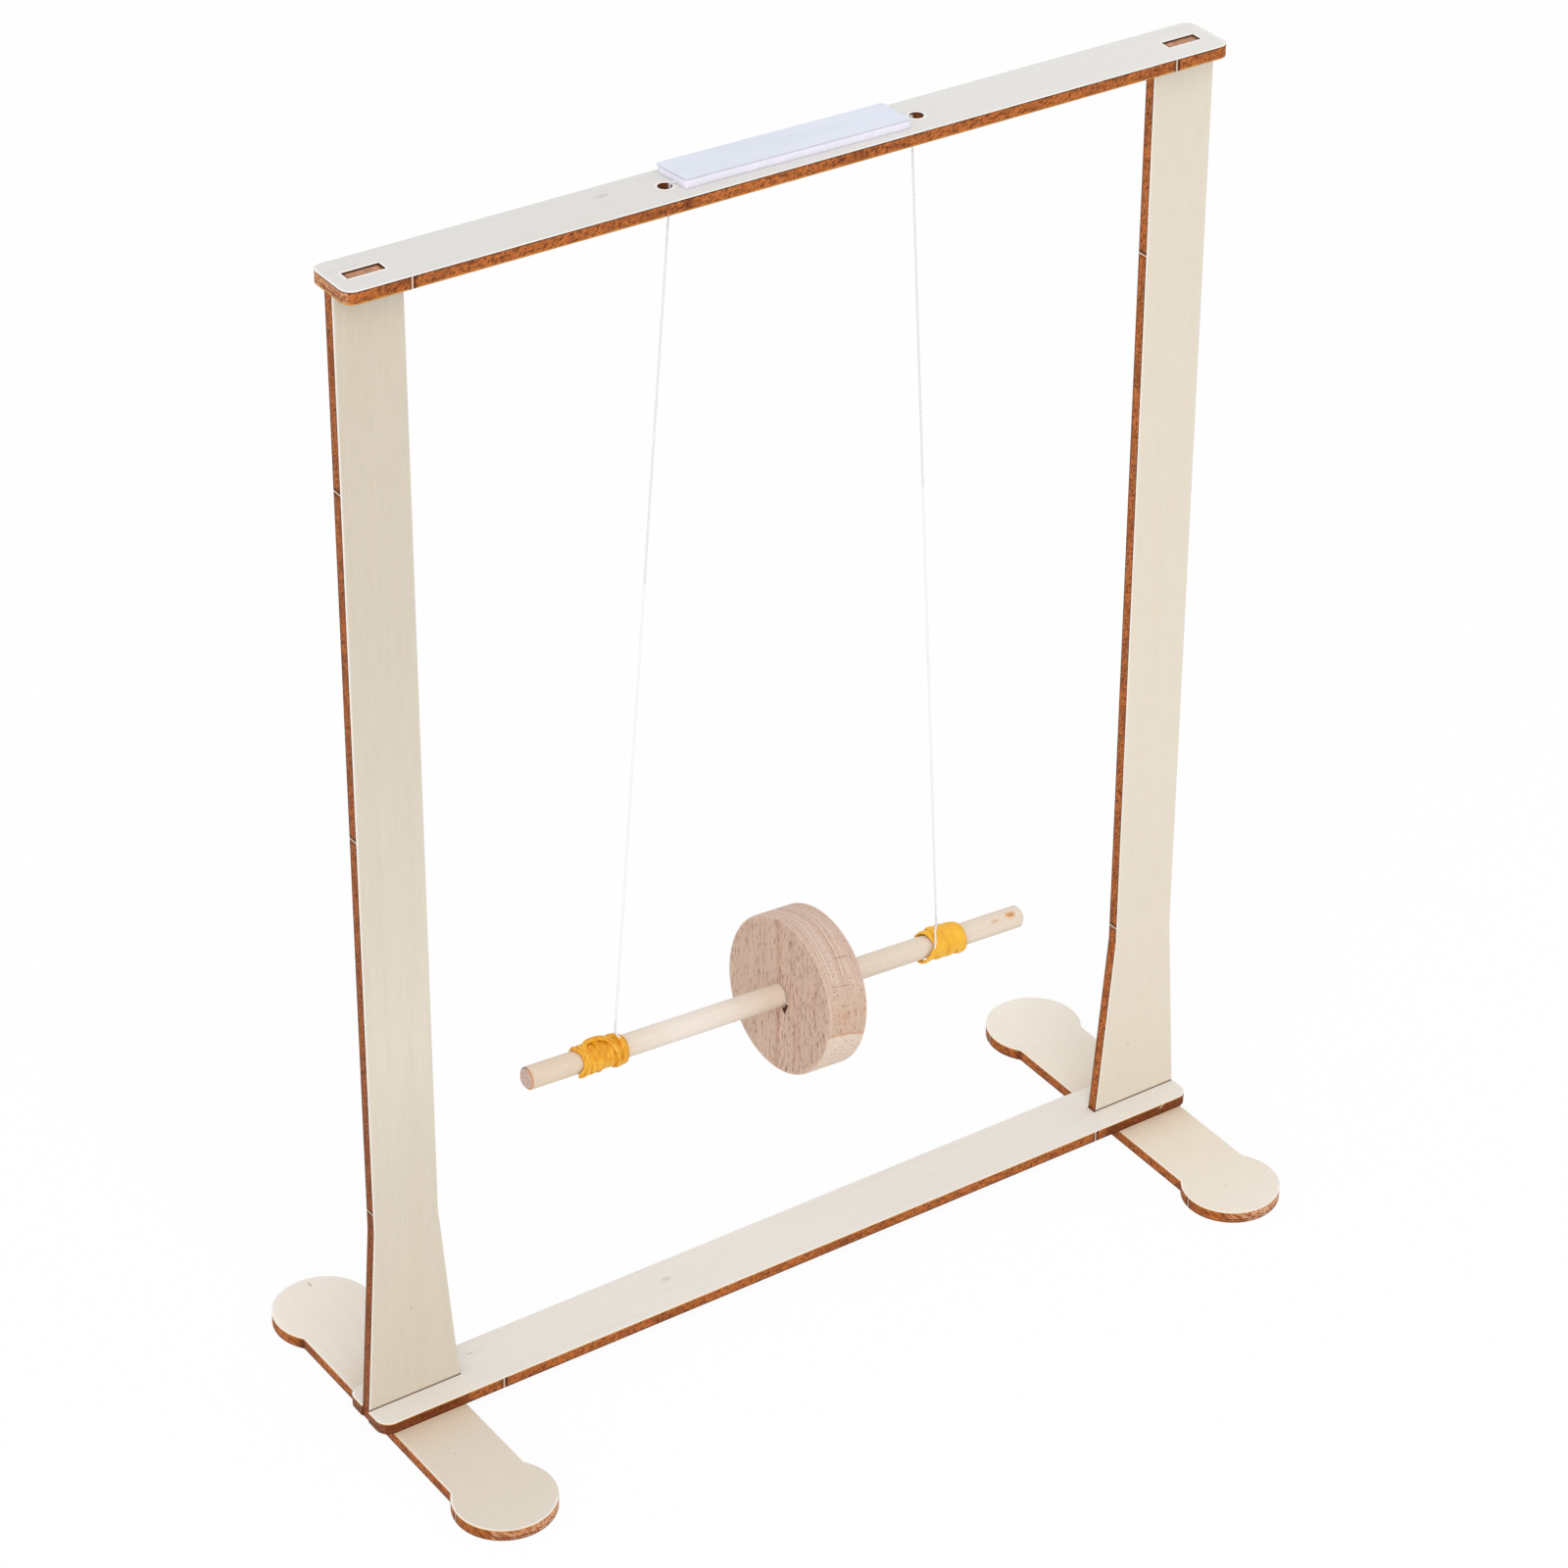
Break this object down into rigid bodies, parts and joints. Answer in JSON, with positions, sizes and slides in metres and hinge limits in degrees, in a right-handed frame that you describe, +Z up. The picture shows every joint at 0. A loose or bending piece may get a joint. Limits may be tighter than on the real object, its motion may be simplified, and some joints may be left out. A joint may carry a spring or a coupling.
{
  "type": "maxwell pendulum",
  "caption": "Maxwell pendulum: a disc on a rod, hung by two threads from a slotted plywood stand, which climbs as it spins.",
  "frame": {"origin": "on the floor, midway between the two feet", "axes": "+X along the two beams to the right, +Y to the back along the feet, +Z up"},
  "size_m": [0.2456, 0.112, 0.3124],
  "materials": {
    "plywood": "bare basswood plywood with scorched laser-cut edges",
    "foam": "white foam tape",
    "liner_paper": "smooth release paper",
    "thread": "white cotton thread",
    "dowel_wood": "bare pale dowel",
    "beech": "bare sanded beech",
    "rubber": "yellow rubber band"
  },
  "bodies": {
    "stand": {"left_foot": "plywood", "right_foot": "plywood", "base_beam": "plywood", "left_upright": "plywood", "right_upright": "plywood", "top_beam": "plywood", "foam_tape": "foam", "tape_liner": "liner_paper", "thread_bridge": "thread"},
    "threads": {"left_thread": "thread", "right_thread": "thread"},
    "thread_ends": {"left_thread_end": "thread", "right_thread_end": "thread"},
    "wheel": {"axle_dowel": "dowel_wood", "wheel_disc": "beech", "left_rubber_band": "rubber", "right_rubber_band": "rubber", "left_thread_tie": "thread", "right_thread_tie": "thread"}
  },
  "joints": [
    {"name": "swing", "type": "hinge", "parent": "stand", "child": "threads", "pos_m": [0, 0, 0.307], "axis": [1, 0, 0], "range_deg": [-30, 30]},
    {"name": "climb", "type": "slide", "parent": "threads", "child": "thread_ends", "axis": [0, 0, 1], "range_m": [0, 0.196], "deforming": ["left_thread", "right_thread"]},
    {"name": "wheel_spin", "type": "hinge", "parent": "thread_ends", "child": "wheel", "pos_m": [-0.0022, 0, 0.0811], "axis": [0.9933, 0.059, -0.0993], "range_deg": [0, 3400]}
  ],
  "couplings": [
    {"joint": "climb", "follows": "wheel_spin", "m_per_rad": 0.0033}
  ]
}
